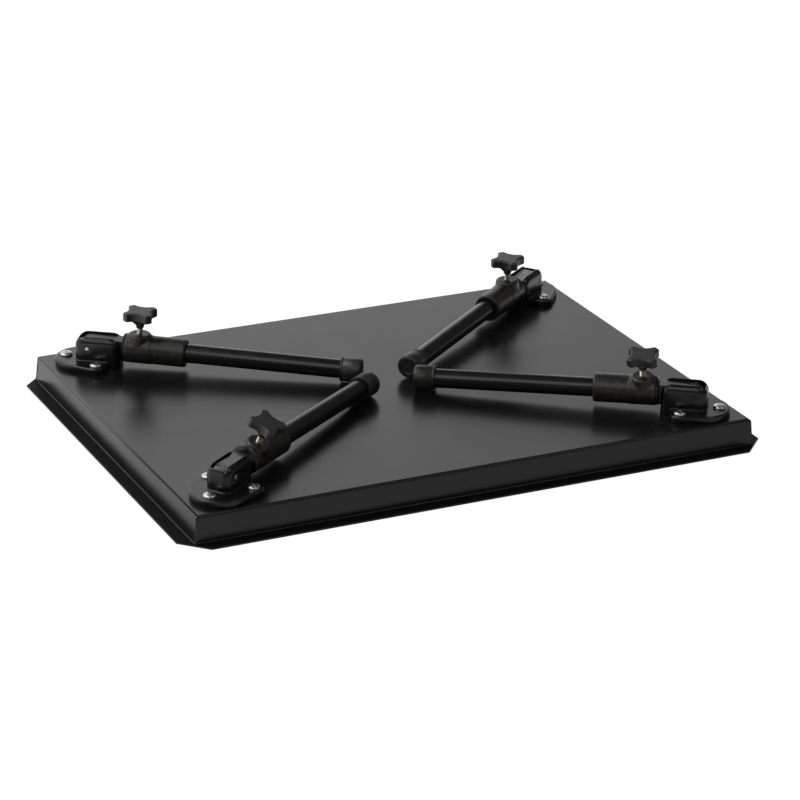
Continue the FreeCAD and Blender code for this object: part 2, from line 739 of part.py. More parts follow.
def build_clamp_stud(corner):
    """Clamp screw from the tube up into the knob."""
    body = new_body(f"{corner}_clamp_stud")
    tip = "tube_diameter / 2 + stud_tip_gap"
    outline = new_sketch(body, "stud_outline", "XY_Plane", tip)
    add_circle(outline, "0", "0", "stud_diameter / 2")
    extrude(
        body, "Pad", "stud", outline,
        f"boss_rise + stud_show + stud_grip - ({tip})")
    place(body, knob_place(corner))
    return body


def build_clamp_knob(corner):
    """Four-lobed knob: scalloped head on a flared hub, bored for the clamp screw."""
    body = new_body(f"{corner}_clamp_knob")
    underside = "boss_rise + stud_show"
    lobes_low = f"{underside} + hub_height"
    lobes_high = f"{lobes_low} + lobe_height"
    head_sketch = new_sketch(body, "head_outline", "XY_Plane", lobes_low)
    add_circle(head_sketch, "0", "0", "lobe_circle / 2")
    extrude(body, "Pad", "head", head_sketch, "lobe_height")

    scallop_sketch = new_sketch(body, "scallop_outline", "XY_Plane", lobes_high)
    add_circle(
        scallop_sketch, "waist_radius + scallop_radius", "0", "scallop_radius")
    scallop = checked_cut(
        body, "Pocket", "scallop", scallop_sketch, "lobe_height")
    before = body.Shape.Volume
    pattern = body.newObject("PartDesign::PolarPattern", "scallops")
    pattern.Originals = [scallop]
    pattern.Axis = (origin_plane(body, "Z_Axis"), [""])
    pattern.Angle = FULL_TURN
    pattern.Occurrences = LOBES
    body.Tip = pattern
    document.recompute()
    if not body.Shape.Volume < before:
        raise RuntimeError(f"{body.Label}: the scallops cut nothing")

    high = value(lobes_high)
    rim = value("lobe_circle / 2")
    lobes = round_edges(
        body, "lobe_rounding", pattern,
        lambda point: near(math.hypot(point.x, point.y), rim),
        "lobe_round", upright=True)
    round_edges(
        body, "upper_rim", lobes,
        lambda point: near(point.z, high), "knob_edge", kind="Chamfer")

    hub_sketch = new_sketch(body, "hub_profile", "XZ_Plane")
    add_polygon(hub_sketch, [
        ("0", underside),
        ("hub_diameter / 2", underside),
        ("hub_diameter / 2", f"{underside} + hub_neck"),
        ("hub_flare / 2", lobes_low),
        ("hub_flare / 2", f"{lobes_low} + knob_edge"),
        ("0", f"{lobes_low} + knob_edge"),
    ])
    revolve(body, "Revolution", "hub", hub_sketch)
    grip_sketch = new_sketch(body, "grip_outline", "XY_Plane", underside)
    add_circle(grip_sketch, "0", "0", "stud_diameter / 2 + stud_fit")
    checked_cut(
        body, "Pocket", "grip", grip_sketch, "stud_grip + stud_tip_gap", reverse=True)
    place(body, knob_place(corner))
    return body


def check_objects():
    """Stop if anything in the document failed to build."""
    for item in document.Objects:
        if "Invalid" in item.State or "Error" in item.State:
            raise RuntimeError(f"{item.Name} failed: {item.State}")


def export(items):
    """Write each sub-part as parts/LABEL.step."""
    for item in items:
        if item.Shape.isNull() or not item.Shape.isValid():
            raise RuntimeError(f"{item.Label} has no valid shape")
    os.makedirs("parts", exist_ok=True)
    for item in items:
        item.Shape.exportStep(f"parts/{item.Label}.step")


CORNER_BUILDERS = [
    build_hinge_bracket,
    build_hinge_pin,
    build_bracket_screws,
    build_bracket_nuts,
    build_hinge_knuckle,
    build_leg_socket,
    build_thread_insert,
    build_leg_tube,
    build_foot_cap,
    build_clamp_stud,
    build_clamp_knob,
]

pieces = [build_deck_tray()]
for corner_name in CORNERS:
    for builder in CORNER_BUILDERS:
        pieces.append(builder(corner_name))
document.recompute()
check_objects()
export(pieces)
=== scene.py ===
"""Looks of the folding-leg tray platform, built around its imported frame.

The platform lies face down: a shallow tray of black powder-coated sheet steel with
its four tubular legs folded across it.  Every piece is in metres, in the frame's axes.
"""

from __future__ import annotations

import json
import logging
import math
from collections.abc import Sequence
from dataclasses import dataclass
from enum import Enum

import bpy
from mathutils import Matrix, Vector


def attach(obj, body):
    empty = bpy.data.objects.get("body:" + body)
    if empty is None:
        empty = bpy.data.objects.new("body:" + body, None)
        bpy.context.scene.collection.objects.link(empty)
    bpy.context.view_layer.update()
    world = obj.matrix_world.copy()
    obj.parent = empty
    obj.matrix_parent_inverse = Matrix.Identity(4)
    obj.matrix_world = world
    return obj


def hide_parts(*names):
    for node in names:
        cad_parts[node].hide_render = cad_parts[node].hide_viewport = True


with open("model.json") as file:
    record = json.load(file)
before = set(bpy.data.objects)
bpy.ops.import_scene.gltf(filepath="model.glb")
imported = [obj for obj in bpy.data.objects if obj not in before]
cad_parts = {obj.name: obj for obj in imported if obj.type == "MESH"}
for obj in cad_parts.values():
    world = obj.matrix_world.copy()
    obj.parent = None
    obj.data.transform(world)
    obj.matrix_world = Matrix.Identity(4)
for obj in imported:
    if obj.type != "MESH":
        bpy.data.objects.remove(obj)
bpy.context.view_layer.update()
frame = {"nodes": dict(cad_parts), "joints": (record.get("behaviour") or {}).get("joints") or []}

LOG = logging.getLogger("tray_platform")
MM = 0.001
WHITE = (1.0, 1.0, 1.0, 1.0)


def linear_colour(code: str) -> tuple[float, float, float, float]:
    """Turn an sRGB hex code into a linear colour.

    Args:
        code: Six hex digits after a hash sign.

    Returns:
        Red, green, blue and an alpha of one.
    """
    channels = []
    for start in (1, 3, 5):
        share = int(code[start:start + 2], 16) / 255
        if share <= 0.04045:
            channels.append(share / 12.92)
        else:
            channels.append(((share + 0.055) / 1.055) ** 2.4)
    return (channels[0], channels[1], channels[2], 1.0)


def add_node(tree: bpy.types.NodeTree, kind: str, settings: dict | None = None,
             inputs: dict | None = None) -> bpy.types.Node:
    """Add a shader node with its settings, constants and links.

    Args:
        tree: Node tree that gets the node.
        kind: Blender's identifier of the node.
        settings: Attributes of the node.
        inputs: Value or feeding socket for each input, by name or number.

    Returns:
        The new node.
    """
    node = tree.nodes.new(kind)
    for name, value in (settings or {}).items():
        setattr(node, name, value)
    for name, value in (inputs or {}).items():
        if isinstance(value, bpy.types.NodeSocket):
            tree.links.new(value, node.inputs[name])
        else:
            node.inputs[name].default_value = value
    return node


def colour_steps(tree: bpy.types.NodeTree, factor: bpy.types.NodeSocket,
                 steps: Sequence[tuple[float, str]]) -> bpy.types.NodeSocket:
    """Map a factor through a colour ramp.

    Args:
        tree: Node tree that gets the ramp.
        factor: Socket that feeds the ramp.
        steps: Places on the ramp with their hex colours.

    Returns:
        The ramp's colour socket.
    """
    ramp = add_node(tree, "ShaderNodeValToRGB", inputs={"Fac": factor})
    elements = ramp.color_ramp.elements
    while len(elements) < len(steps):
        elements.new(1.0)
    for element, (place, code) in zip(elements, steps):
        element.position = place
        element.color = linear_colour(code)
    return ramp.outputs["Color"]


def grain_scale(size: float) -> float:
    """Scale of a noise or Voronoi texture whose grains measure size, in metres."""
    return 1.0 / size


@dataclass(frozen=True)
class Finish:
    """A surface finish: what the material is and how its surface was made.

    Attributes:
        name: Common name of the material.
        colour: Main colour, as a hex code.
        shade: Second colour that the main one drifts to.
        roughness: Lowest and highest roughness over the surface.
        ior: Refractive index, for all but metals.
        metallic: One for bare or plated metal.
        drift: Size of the slow colour and gloss drift, in metres.
        grain: Size of the surface's grains, in metres.
        relief: Height of the grains, in metres.
        shine: Strength of the surface reflection, a half being the plain one.
    """

    name: str
    colour: str
    shade: str
    roughness: tuple[float, float]
    ior: float = 1.5
    metallic: float = 0.0
    drift: float = 40 * MM
    grain: float = 1 * MM
    relief: float = 0.01 * MM
    shine: float = 0.5

    def build(self) -> bpy.types.Material:
        """Make the node material.

        Returns:
            The material, which reads Object coordinates only.
        """
        material = bpy.data.materials.new(self.name)
        material.use_nodes = True
        tree = material.node_tree
        tree.nodes.clear()
        place = add_node(tree, "ShaderNodeTexCoord").outputs["Object"]
        slow = add_node(
            tree, "ShaderNodeTexNoise",
            inputs={"Vector": place, "Scale": grain_scale(self.drift), "Detail": 4.0,
                    "Roughness": 0.6})
        colour = colour_steps(
            tree, slow.outputs["Fac"], [(0.35, self.colour), (0.65, self.shade)])
        low, high = self.roughness
        gloss = add_node(
            tree, "ShaderNodeMapRange",
            inputs={"Value": slow.outputs["Fac"], "From Min": 0.3, "From Max": 0.7,
                    "To Min": low, "To Max": high})
        fine = add_node(
            tree, "ShaderNodeTexNoise",
            inputs={"Vector": place, "Scale": grain_scale(self.grain), "Detail": 2.0})
        bump = add_node(
            tree, "ShaderNodeBump",
            inputs={"Height": fine.outputs["Fac"], "Distance": self.relief,
                    "Strength": 1.0})
        shader = add_node(
            tree, "ShaderNodeBsdfPrincipled",
            inputs={"Base Color": colour, "Roughness": gloss.outputs["Result"],
                    "Metallic": self.metallic, "Normal": bump.outputs["Normal"],
                    "Specular IOR Level": self.shine})
        if not self.metallic:
            shader.inputs["IOR"].default_value = self.ior
        add_node(
            tree, "ShaderNodeOutputMaterial",
            inputs={"Surface": shader.outputs["BSDF"]})
        return material


class Surface(Enum):
    """The finishes of the platform, each named for its real material."""

    # Polyester powder coat: near black and semi-gloss, so flat faces mirror softly.
    # The orange peel of its cure is very faint.
    DECK = Finish("powder_coat_on_sheet_steel", "#08090a", "#0b0c0d", (0.21, 0.27),
                  drift=90 * MM, grain=2.4 * MM, relief=0.001 * MM, shine=0.56)
    # The same powder on the flange's upper face by the floor, darker and duller: painted shade.
    FLANGE_SHADE = Finish("powder_coat_painted_shade", "#020202", "#080808", (0.5, 0.65),
                    drift=4 * MM, grain=1 * MM, relief=0.02 * MM, shine=0.12)
    # Bead along a welded corner, ground and coated over: rougher than the sheet. Its grey, paler
    # than the black sheet, is a painted highlight of glints along the bead.
    WELD = Finish("weld_bead_painted_glints", "#1c1c1d", "#4c4c4a", (0.3, 0.5),
                  drift=2 * MM, grain=0.8 * MM, relief=0.06 * MM)
    # Gloss enamel over a casting: the skin of the mould shows as soft waves.
    BRACKET = Finish("gloss_enamel_on_cast_iron", "#070707", "#0c0b0b", (0.17, 0.27),
                     drift=12 * MM, grain=3.2 * MM, relief=0.03 * MM)
    # Enamel on a forged and milled steel part: even, with less gloss than the bracket.
    KNUCKLE = Finish("enamel_on_forged_steel", "#0a0a0b", "#101011", (0.2, 0.32),
                     grain=1.2 * MM, relief=0.012 * MM)
    # Stoved paint on drawn tube: black with long soft highlights, a little uneven.
    TUBE = Finish("stoved_paint_on_steel_tube", "#060708", "#090a0b", (0.2, 0.28),
                  drift=14 * MM, grain=3 * MM, relief=0.003 * MM)
    # Glass-filled polyamide from a spark-eroded mould: satin black, mottled brown by
    # oil.  The mould's 0.1 mm grain is drawn as 1.5 mm, because it wouldn't show.
    SOCKET = Finish("moulded_polyamide", "#050403", "#211c18", (0.28, 0.48), ior=1.53,
                    drift=4.5 * MM, grain=1.5 * MM, relief=0.045 * MM)
    # The same polyamide, greyer and drier where hands turn it.
    KNOB = Finish("moulded_polyamide_knob", "#191919", "#222120", (0.32, 0.46),
                  ior=1.53, drift=9 * MM, grain=0.6 * MM, relief=0.02 * MM)
    # Natural rubber with carbon black: nearly matte, a little dusty.
    RUBBER = Finish("black_rubber", "#0f0e0d", "#1c1a18", (0.34, 0.5), ior=1.52,
                    drift=8 * MM, grain=0.7 * MM, relief=0.03 * MM)
    # Bright zinc plate: pale, nearly neutral metal, clouded in patches.
    ZINC = Finish("bright_zinc_plate", "#dcdcd8", "#c6c7c4", (0.18, 0.3),
                  metallic=1.0, drift=3 * MM, grain=0.4 * MM, relief=0.004 * MM)
    # Turned steel rivet, its head burnished by the riveting tool.
    RIVET = Finish("burnished_steel", "#cfcecb", "#b3b2af", (0.2, 0.32), metallic=1.0,
                   drift=3 * MM, grain=0.4 * MM, relief=0.004 * MM)
    # Zinc with a thin yellow passivation on the clamp screws.
    STUD = Finish("yellow_zinc_plate", "#dbd7ca", "#cdc2a8", (0.2, 0.34),
                  metallic=1.0, drift=2 * MM, grain=0.4 * MM, relief=0.004 * MM)
    # Turned free-cutting brass, dulled with oil.
    BRASS = Finish("turned_brass", "#8d7749", "#75602f", (0.3, 0.45), metallic=1.0,
                   drift=3 * MM, grain=0.3 * MM, relief=0.004 * MM)


class Wardrobe:
    """Builds each finish once and hands it out."""

    def __init__(self) -> None:
        """Start with no material built."""
        self.built: dict[Surface, bpy.types.Material] = {}

    def material(self, surface: Surface) -> bpy.types.Material:
        """Material of a surface, built on first use.

        Args:
            surface: Which finish.

        Returns:
            Its material.
        """
        if surface not in self.built:
            self.built[surface] = surface.value.build()
        return self.built[surface]

    def dress(self, item: bpy.types.Object, surface: Surface) -> None:
        """Give every material slot of an object one finish.

        Args:
            item: Object to dress.
            surface: Which finish.
        """
        material = self.material(surface)
        if not item.data.materials:
            item.data.materials.append(material)
        for slot in item.material_slots:
            slot.material = material


CAD_FINISHES = {
    "deck_tray": Surface.DECK,
    "hinge_bracket": Surface.BRACKET,
    "hinge_pin": Surface.RIVET,
    "bracket_screws": Surface.ZINC,
    "bracket_nuts": Surface.ZINC,
    "hinge_knuckle": Surface.KNUCKLE,
    "leg_socket": Surface.SOCKET,
    "thread_insert": Surface.BRASS,
    "leg_tube": Surface.TUBE,
    "foot_cap": Surface.RUBBER,
    "clamp_stud": Surface.STUD,
    "clamp_knob": Surface.KNOB,
}


def deselect() -> None:
    """Leave nothing selected."""
    bpy.ops.object.select_all(action="DESELECT")


def pick(item: bpy.types.Object) -> None:
    """Make one object the selected and active one.

    Args:
        item: Object to pick.
    """
    deselect()
    item.select_set(True)
    bpy.context.view_layer.objects.active = item


def apply_modifier(item: bpy.types.Object, kind: str, settings: dict) -> None:
    """Add a modifier and apply it.

    Args:
        item: Object that gets it.
        kind: Blender's identifier of the modifier.
        settings: Attributes of the modifier.
    """
    pick(item)
    modifier = item.modifiers.new(kind.lower(), kind)
    for name, value in settings.items():
        setattr(modifier, name, value)
    bpy.ops.object.modifier_apply(modifier=modifier.name)


def smooth(item: bpy.types.Object, degrees: float = 35.0) -> None:
    """Shade an object smooth, but for edges sharper than an angle.

    Args:
        item: Object to shade.
        degrees: The angle.
    """
    pick(item)
    bpy.ops.object.shade_smooth_by_angle(angle=math.radians(degrees))


def turned(name: str, steps: Sequence[tuple[float, float]],
           segments: int = 96) -> bpy.types.Object:
    """Turn a closed solid about Z by extruding a disc from step to step.

    Args:
        name: Name of the object.
        steps: Radius and height of each section, in the order of the extrusions.
        segments: Corners of each section.

    Returns:
        The solid, its first and last sections closed.
    """
    deselect()
    radius, height = steps[0]
    bpy.ops.mesh.primitive_circle_add(
        vertices=segments, radius=radius, fill_type="NGON", location=(0, 0, height))
    item = bpy.context.object
    item.name = name
    bpy.ops.object.transform_apply(location=True, rotation=True, scale=True)
    bpy.ops.object.mode_set(mode="EDIT")
    bpy.ops.mesh.select_all(action="SELECT")
    for next_radius, next_height in steps[1:]:
        bpy.ops.mesh.extrude_region_move(
            TRANSFORM_OT_translate={"value": (0, 0, next_height - height)})
        share = next_radius / radius
        bpy.ops.transform.resize(value=(share, share, 1.0))
        radius, height = next_radius, next_height
    bpy.ops.mesh.select_all(action="SELECT")
    bpy.ops.mesh.normals_make_consistent(inside=False)
    bpy.ops.object.mode_set(mode="OBJECT")
    return item


def copied(model: bpy.types.Object, name: str, place: Matrix) -> bpy.types.Object:
    """Copy a model, with its own mesh, to a place.

    Args:
        model: Object to copy, which stands at the origin.
        name: Name of the copy.
        place: Matrix that takes the mesh to its place.

    Returns:
        The copy, its object at the origin.
    """
    mesh = model.data.copy()
    mesh.transform(place)
    item = bpy.data.objects.new(name, mesh)
    bpy.context.scene.collection.objects.link(item)
    return item


def joined(items: Sequence[bpy.types.Object], name: str) -> bpy.types.Object:
    """Join objects into the first one.

    Args:
        items: Objects to join.
        name: Name of the result.

    Returns:
        The joined object.
    """
    pick(items[0])
    for item in items:
        item.select_set(True)
    bpy.ops.object.join()
    items[0].name = name
    return items[0]


def discard(item: bpy.types.Object) -> None:
    """Delete a model that only its copies show."""
    bpy.data.objects.remove(item, do_unlink=True)


def skin_of(node: str, name: str) -> bpy.types.Object:
    """Copy a CAD node's mesh, merge it and clear the lines inside its flat faces.

    Args:
        node: Name of the CAD node.
        name: Name of the copy.

    Returns:
        The merged copy.
    """
    item = copied(frame["nodes"][node], name, frame["nodes"][node].matrix_world)
    item.data.materials.clear()
    pick(item)
    bpy.ops.object.mode_set(mode="EDIT")
    bpy.ops.mesh.select_all(action="SELECT")
    bpy.ops.mesh.remove_doubles(threshold=0.002 * MM)
    bpy.ops.mesh.dissolve_limited(angle_limit=math.radians(0.5))
    bpy.ops.object.mode_set(mode="OBJECT")
    return item


def moulded(node: str, name: str, grid: float, passes: int) -> bpy.types.Object:
    """Copy a CAD node as a moulding or casting, with every edge softly rounded.

    Args:
        node: Name of the CAD node.
        name: Name of the copy.
        grid: Side of the cells that the surface is rebuilt from.
        passes: How often the surface is relaxed; more passes round more.

    Returns:
        The softened copy.
    """
    item = skin_of(node, name)
    apply_modifier(item, "REMESH", {"mode": "VOXEL", "voxel_size": grid})
    apply_modifier(item, "SMOOTH", {"factor": 0.5, "iterations": passes})
    pick(item)
    bpy.ops.object.shade_smooth()
    return item


@dataclass
class Corner:
    """Where the hinge and leg of one corner stand, read from the joints.

    Attributes:
        name: Name of the corner.
    """

    name: str

    def joint(self, kind: str) -> dict:
        """Joint of this corner.

        Args:
            kind: What the joint does.

        Returns:
            The joint as the frame gives it.
        """
        name = f"{self.name}_{kind}"
        return next(joint for joint in frame["joints"] if joint["name"] == name)

    @staticmethod
    def axes(origin: Vector, along: Vector, up: Vector) -> Matrix:
        """Matrix of a local frame.

        Args:
            origin: Its origin.
            along: Its X axis.
            up: Its Z axis, square to the X axis.

        Returns:
            The matrix.
        """
        turn = Matrix((along, up.cross(along), up)).transposed()
        return Matrix.Translation(origin) @ turn.to_4x4()

    def bracket_place(self) -> Matrix:
        """Frame on the pin's middle: X along the folded leg, Z straight up.

        Returns:
            Matrix from that frame to the model's.
        """
        pin = Vector(self.joint("leg_fold")["axis"]).normalized()
        return self.axes(
            Vector(self.joint("leg_fold")["pos_m"]), pin.cross(Vector((0, 0, 1))) * -1,
            Vector((0, 0, 1)))

    def leg_place(self) -> Matrix:
        """Frame at the collar's start: X along the tube, Z along the clamp screw.

        Returns:
            Matrix from that frame to the model's.
        """
        turn = self.joint("collar_turn")
        up = Vector(self.joint("screw_travel")["axis"]).normalized()
        return self.axes(Vector(turn["pos_m"]), Vector(turn["axis"]).normalized(), up)

    def knob_place(self) -> Matrix:
        """Frame at the hub's lower end: Z along the clamp screw.

        Returns:
            Matrix from that frame to the model's.
        """
        place = self.leg_place()
        place.translation = Vector(self.joint("knob_turn")["pos_m"])
        return place


CORNERS = [Corner(name) for name in
           ("front_left", "front_right", "rear_left", "rear_right")]


@dataclass
class SheetTray:
    """The tray of folded sheet with its welded corners.

    Attributes:
        half_length: Middle of the face to its short edge.
        half_width: Middle of the face to its long edge.
        depth: Floor to the face.
        flare: How far a wall's foot stands outside its head.
        gauge: Thickness of the sheet.
        bead: Radius of the bead along a welded corner.
        ripple: How uneven the bead is.
        upright: Least upward share of the normal of a face that looks up.
        crisp: Edges sharper than this stay crisp, in degrees.
        head_gap: Face to the bead's upper end, along the corner.
        bead_sides: Sides of the bead's section.
        bead_cuts: Cuts between the bead's ends.
        seed: Seed of the bead's ripple.
        wardrobe: Where the finishes come from.
    """

    wardrobe: Wardrobe
    half_length: float = 290 * MM
    half_width: float = 211.5 * MM
    depth: float = 28 * MM
    flare: float = 2.2 * MM
    gauge: float = 1.5 * MM
    bead: float = 0.4 * MM
    ripple: float = 0.12 * MM
    upright: float = 0.9
    crisp: float = 40.0
    head_gap: float = 1.6 * MM
    bead_sides: int = 12
    bead_cuts: int = 11
    seed: int = 3

    def build_sheet(self) -> None:
        """Sheet with smooth bends and flats that mirror flatly."""
        sheet = skin_of("deck_tray", "tray_sheet")
        smooth(sheet, self.crisp)
        apply_modifier(sheet, "WEIGHTED_NORMAL", {"weight": 100, "keep_sharp": True})
        self.wardrobe.dress(sheet, Surface.DECK)
        self.paint_flange_shade(sheet)
        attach(sheet, "tray_frame")
        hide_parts("deck_tray")
        LOG.info("built %s", sheet.name)

    def paint_flange_shade(self, sheet: bpy.types.Object) -> None:
        """Paint shade onto the flange's upper face with a darker, duller coat.

        Args:
            sheet: The dressed sheet.
        """
        sheet.data.materials.append(self.wardrobe.material(Surface.FLANGE_SHADE))
        # Upward faces low by the floor get the darker coat: painted shade.
        for face in sheet.data.polygons:
            low = face.center.z < 2 * self.gauge
            if low and face.normal.z > self.upright:
                face.material_index = 1

    def build_bead(self, side_x: int, side_y: int) -> None:
        """Bead down one corner, from the bend at the face to the flange.

        Args:
            side_x: Which short side, as a sign.
            side_y: Which long side, as a sign.
        """
        head = Vector((side_x * self.half_length, side_y * self.half_width, self.depth))
        foot = head + Vector((side_x * self.flare, side_y * self.flare, -self.depth))
        along = (foot - head).normalized()
        start = head + along * self.head_gap
        end = foot - along * self.gauge
        deselect()
        bpy.ops.mesh.primitive_cylinder_add(
            vertices=self.bead_sides, radius=self.bead, depth=(end - start).length)
        bead = bpy.context.object
        bead.name = f"corner_weld_{'right' if side_x > 0 else 'left'}" + (
            "_rear" if side_y > 0 else "_front")
        bpy.ops.object.mode_set(mode="EDIT")
        bpy.ops.mesh.select_all(action="SELECT")
        bpy.ops.mesh.subdivide(number_cuts=self.bead_cuts)
        bpy.ops.transform.vertex_random(offset=self.ripple, seed=self.seed)
        bpy.ops.object.mode_set(mode="OBJECT")
        turn = along.to_track_quat("Z", "Y").to_matrix().to_4x4()
        bead.data.transform(Matrix.Translation((start + end) / 2) @ turn)
        smooth(bead, 60)
        # The bead's pale grey is painted glints.
        self.wardrobe.dress(bead, Surface.WELD)
        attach(bead, "tray_frame")
        LOG.info("built %s", bead.name)

    def build(self) -> None:
        """Build the sheet and its four beads."""
        self.build_sheet()
        for side_x in (-1, 1):
            for side_y in (-1, 1):
                self.build_bead(side_x, side_y)


@dataclass
class HingeUnits:
    """The four brackets with their rivets, screws, nuts and knuckles.

    Attributes:
        wardrobe: Where the finishes come from.
        head_radius: Screw head.
        head_height: Screw head.
        thread_radius: Screw's thread.
        core_radius: Screw's thread at its root.
        pitch: One turn of the thread.
        shank: Screw under its head.
        cross_span: Length of the cross recess.
        cross_width: Width of the cross recess.
        cross_depth: Depth of the cross recess.
        cross_taper: Share of its width that the recess keeps at its bottom.
        lead: Taper at the screw's tip.
        nut_radius: Nut, over its corners.
        nut_height: Nut.
        nut_corner: Height of the turning on the nut's corners.
        nut_ease: How far that turning runs in from the flats at the faces.
        plate: Thickness of the bracket's base.
        sheet: Thickness of the sheet under it.
        pin_height: Rivet above the face.
        pin_radius: Rivet.
        pin_from: Rivet's plain end, from the middle of the bracket.
        pin_to: Rivet's domed end, from the middle of the bracket.
        outer_reach: Hinge to the screw at the corner.
        side_reach: Hinge to the side screws, along the leg.
        side_spread: Hinge to the side screws, across the leg.
        pin_dome: Height of the rivet's domed end.
        pin_chamfer: Chamfer of its plain end.
        first_turn: Turn of the first screw or nut of a bracket, in degrees.
        screw_turn: Turn from one screw to the next, in degrees.
        nut_turn: Turn from one nut to the next, in degrees.
        casting_grid: Cells that a bracket's surface is rebuilt from.
        casting_passes: How often that surface is relaxed.
        crisp_thread: Edges sharper than this stay crisp on screws and nuts, in degrees.
        crisp_steel: The same for a knuckle.
        crisp_rivet: The same for a rivet.
    """

    wardrobe: Wardrobe
    head_radius: float = 6.3 * MM
    head_height: float = 3.1 * MM
    thread_radius: float = 2.5 * MM
    core_radius: float = 2.1 * MM
    pitch: float = 0.8 * MM
    shank: float = 13.5 * MM
    cross_span: float = 5.6 * MM
    cross_width: float = 1.15 * MM
    cross_depth: float = 1.9 * MM
    cross_taper: float = 0.45
    lead: float = 0.4 * MM
    nut_radius: float = 4.6188 * MM
    nut_height: float = 4 * MM
    nut_corner: float = 0.75 * MM
    nut_ease: float = 0.2 * MM
    plate: float = 6.5 * MM
    sheet: float = 1.5 * MM
    pin_height: float = 18.8 * MM
    pin_radius: float = 2.5 * MM
    pin_from: float = 12.6 * MM
    pin_to: float = 13.5 * MM
    outer_reach: float = 25 * MM
    side_reach: float = 11.6 * MM
    side_spread: float = 24 * MM
    pin_dome: float = 0.5 * MM
    pin_chamfer: float = 0.3 * MM
    first_turn: float = 23.0
    screw_turn: float = 71.0
    nut_turn: float = 17.0
    casting_grid: float = 0.5 * MM
    casting_passes: int = 9
    crisp_thread: float = 28.0
    crisp_steel: float = 32.0
    crisp_rivet: float = 40.0

    def spots(self) -> list[tuple[float, float]]:
        """Screws of a bracket, along and across the leg."""
        return [(-self.outer_reach, 0.0), (self.side_reach, -self.side_spread),
                (self.side_reach, self.side_spread)]

    def model_screw(self) -> bpy.types.Object:
        """Pan-head screw with a cross recess, its head's underside at the origin.

        Returns:
            The screw, upright along Z.
        """
        steps = [(self.core_radius - self.lead, -self.shank)]
        height = -self.shank + self.lead
        while height < -self.pitch:
            steps.append((self.core_radius, height))
            steps.append((self.thread_radius, height + self.pitch / 2))
            height += self.pitch
        steps += [(self.thread_radius, height), (self.thread_radius, 0.0)]
        top = self.head_height
        for reach, rise in ((0.96, 0.0), (1.0, 0.06), (1.0, 0.34), (0.985, 0.48),
                            (0.94, 0.64), (0.86, 0.78), (0.74, 0.89), (0.56, 0.96),
                            (0.3, 0.995), (0.02, 1.0)):
            steps.append((self.head_radius * reach, top * rise))
        screw = turned("screw_model", steps, 48)
        cutters = []
        for turn in (0, 1):
            deselect()
            bpy.ops.mesh.primitive_cube_add(size=1.0)
            bar = bpy.context.object
            bpy.ops.object.mode_set(mode="EDIT")
            bpy.ops.mesh.select_all(action="SELECT")
            spans = (self.cross_span, self.cross_width)
            bpy.ops.transform.resize(
                value=(spans[turn], spans[1 - turn], 2 * self.cross_depth))
            bpy.ops.mesh.select_all(action="DESELECT")
            bpy.ops.object.mode_set(mode="OBJECT")
            for face in bar.data.polygons:
                face.select = face.normal.z < -0.9
            bpy.ops.object.mode_set(mode="EDIT")
            bpy.ops.transform.resize(
                value=(self.cross_taper, self.cross_taper, 1.0))
            bpy.ops.object.mode_set(mode="OBJECT")
            bar.data.transform(Matrix.Translation((0, 0, top)))
            cutters.append(bar)
        for bar in cutters:
            apply_modifier(screw, "BOOLEAN", {
                "operation": "DIFFERENCE", "solver": "EXACT", "object": bar})
        for bar in cutters:
            discard(bar)
        smooth(screw, self.crisp_thread)
        return screw

    def model_nut(self) -> bpy.types.Object:
        """Hexagon nut with turned corners, its upper face at the origin.

        Returns:
            The nut, below the origin.
        """
        deselect()
        bpy.ops.mesh.primitive_cylinder_add(
            vertices=6, radius=self.nut_radius, depth=self.nut_height,
            location=(0, 0, -self.nut_height / 2))
        nut = bpy.context.object
        nut.name = "nut_model"
        bpy.ops.object.transform_apply(location=True, rotation=True, scale=True)
        flats = self.nut_radius * math.cos(math.radians(30))
        inner, outer = flats - self.nut_ease, self.nut_radius + 0.1 * MM
        lens = turned("nut_lens", [
            (inner, 0.0), (outer, -self.nut_corner),
            (outer, self.nut_corner - self.nut_height), (inner, -self.nut_height)], 64)
        bore = turned("nut_bore", [
            (self.thread_radius + 0.02 * MM, MM),
            (self.thread_radius + 0.02 * MM, -self.nut_height - MM)], 48)
        apply_modifier(nut, "BOOLEAN", {
            "operation": "INTERSECT", "solver": "EXACT", "object": lens})
        apply_modifier(nut, "BOOLEAN", {
            "operation": "DIFFERENCE", "solver": "EXACT", "object": bore})
        discard(lens)
        discard(bore)
        smooth(nut, self.crisp_thread)
        return nut

    def model_rivet(self) -> bpy.types.Object:
        """Rivet across the bracket, its domed end towards +Z.

        Returns:
            The rivet, its middle at the origin.
        """
        radius = self.pin_radius
        rise = self.pin_dome
        neck = self.pin_to - rise
        return turned("rivet_model", [
            (radius - self.pin_chamfer, -self.pin_from),
            (radius, -self.pin_from + self.pin_chamfer),
            (radius, neck), (radius * 0.97, neck + rise * 0.3),
            (radius * 0.85, neck + rise * 0.62), (radius * 0.6, neck + rise * 0.88),
            (radius * 0.25, self.pin_to)], 48)

    def paint_shank(self, pin: bpy.types.Object, place: Matrix) -> None:
        """Enamel a rivet as far as its head, as its bracket is.

        Args:
            pin: The rivet in its place.
            place: Matrix that took the model there.
        """
        pin.data.materials.append(self.wardrobe.material(Surface.BRACKET))
        back = place.inverted()
        neck = self.pin_to - self.pin_dome
        for face in pin.data.polygons:
            face.material_index = int((back @ face.center).z < neck)

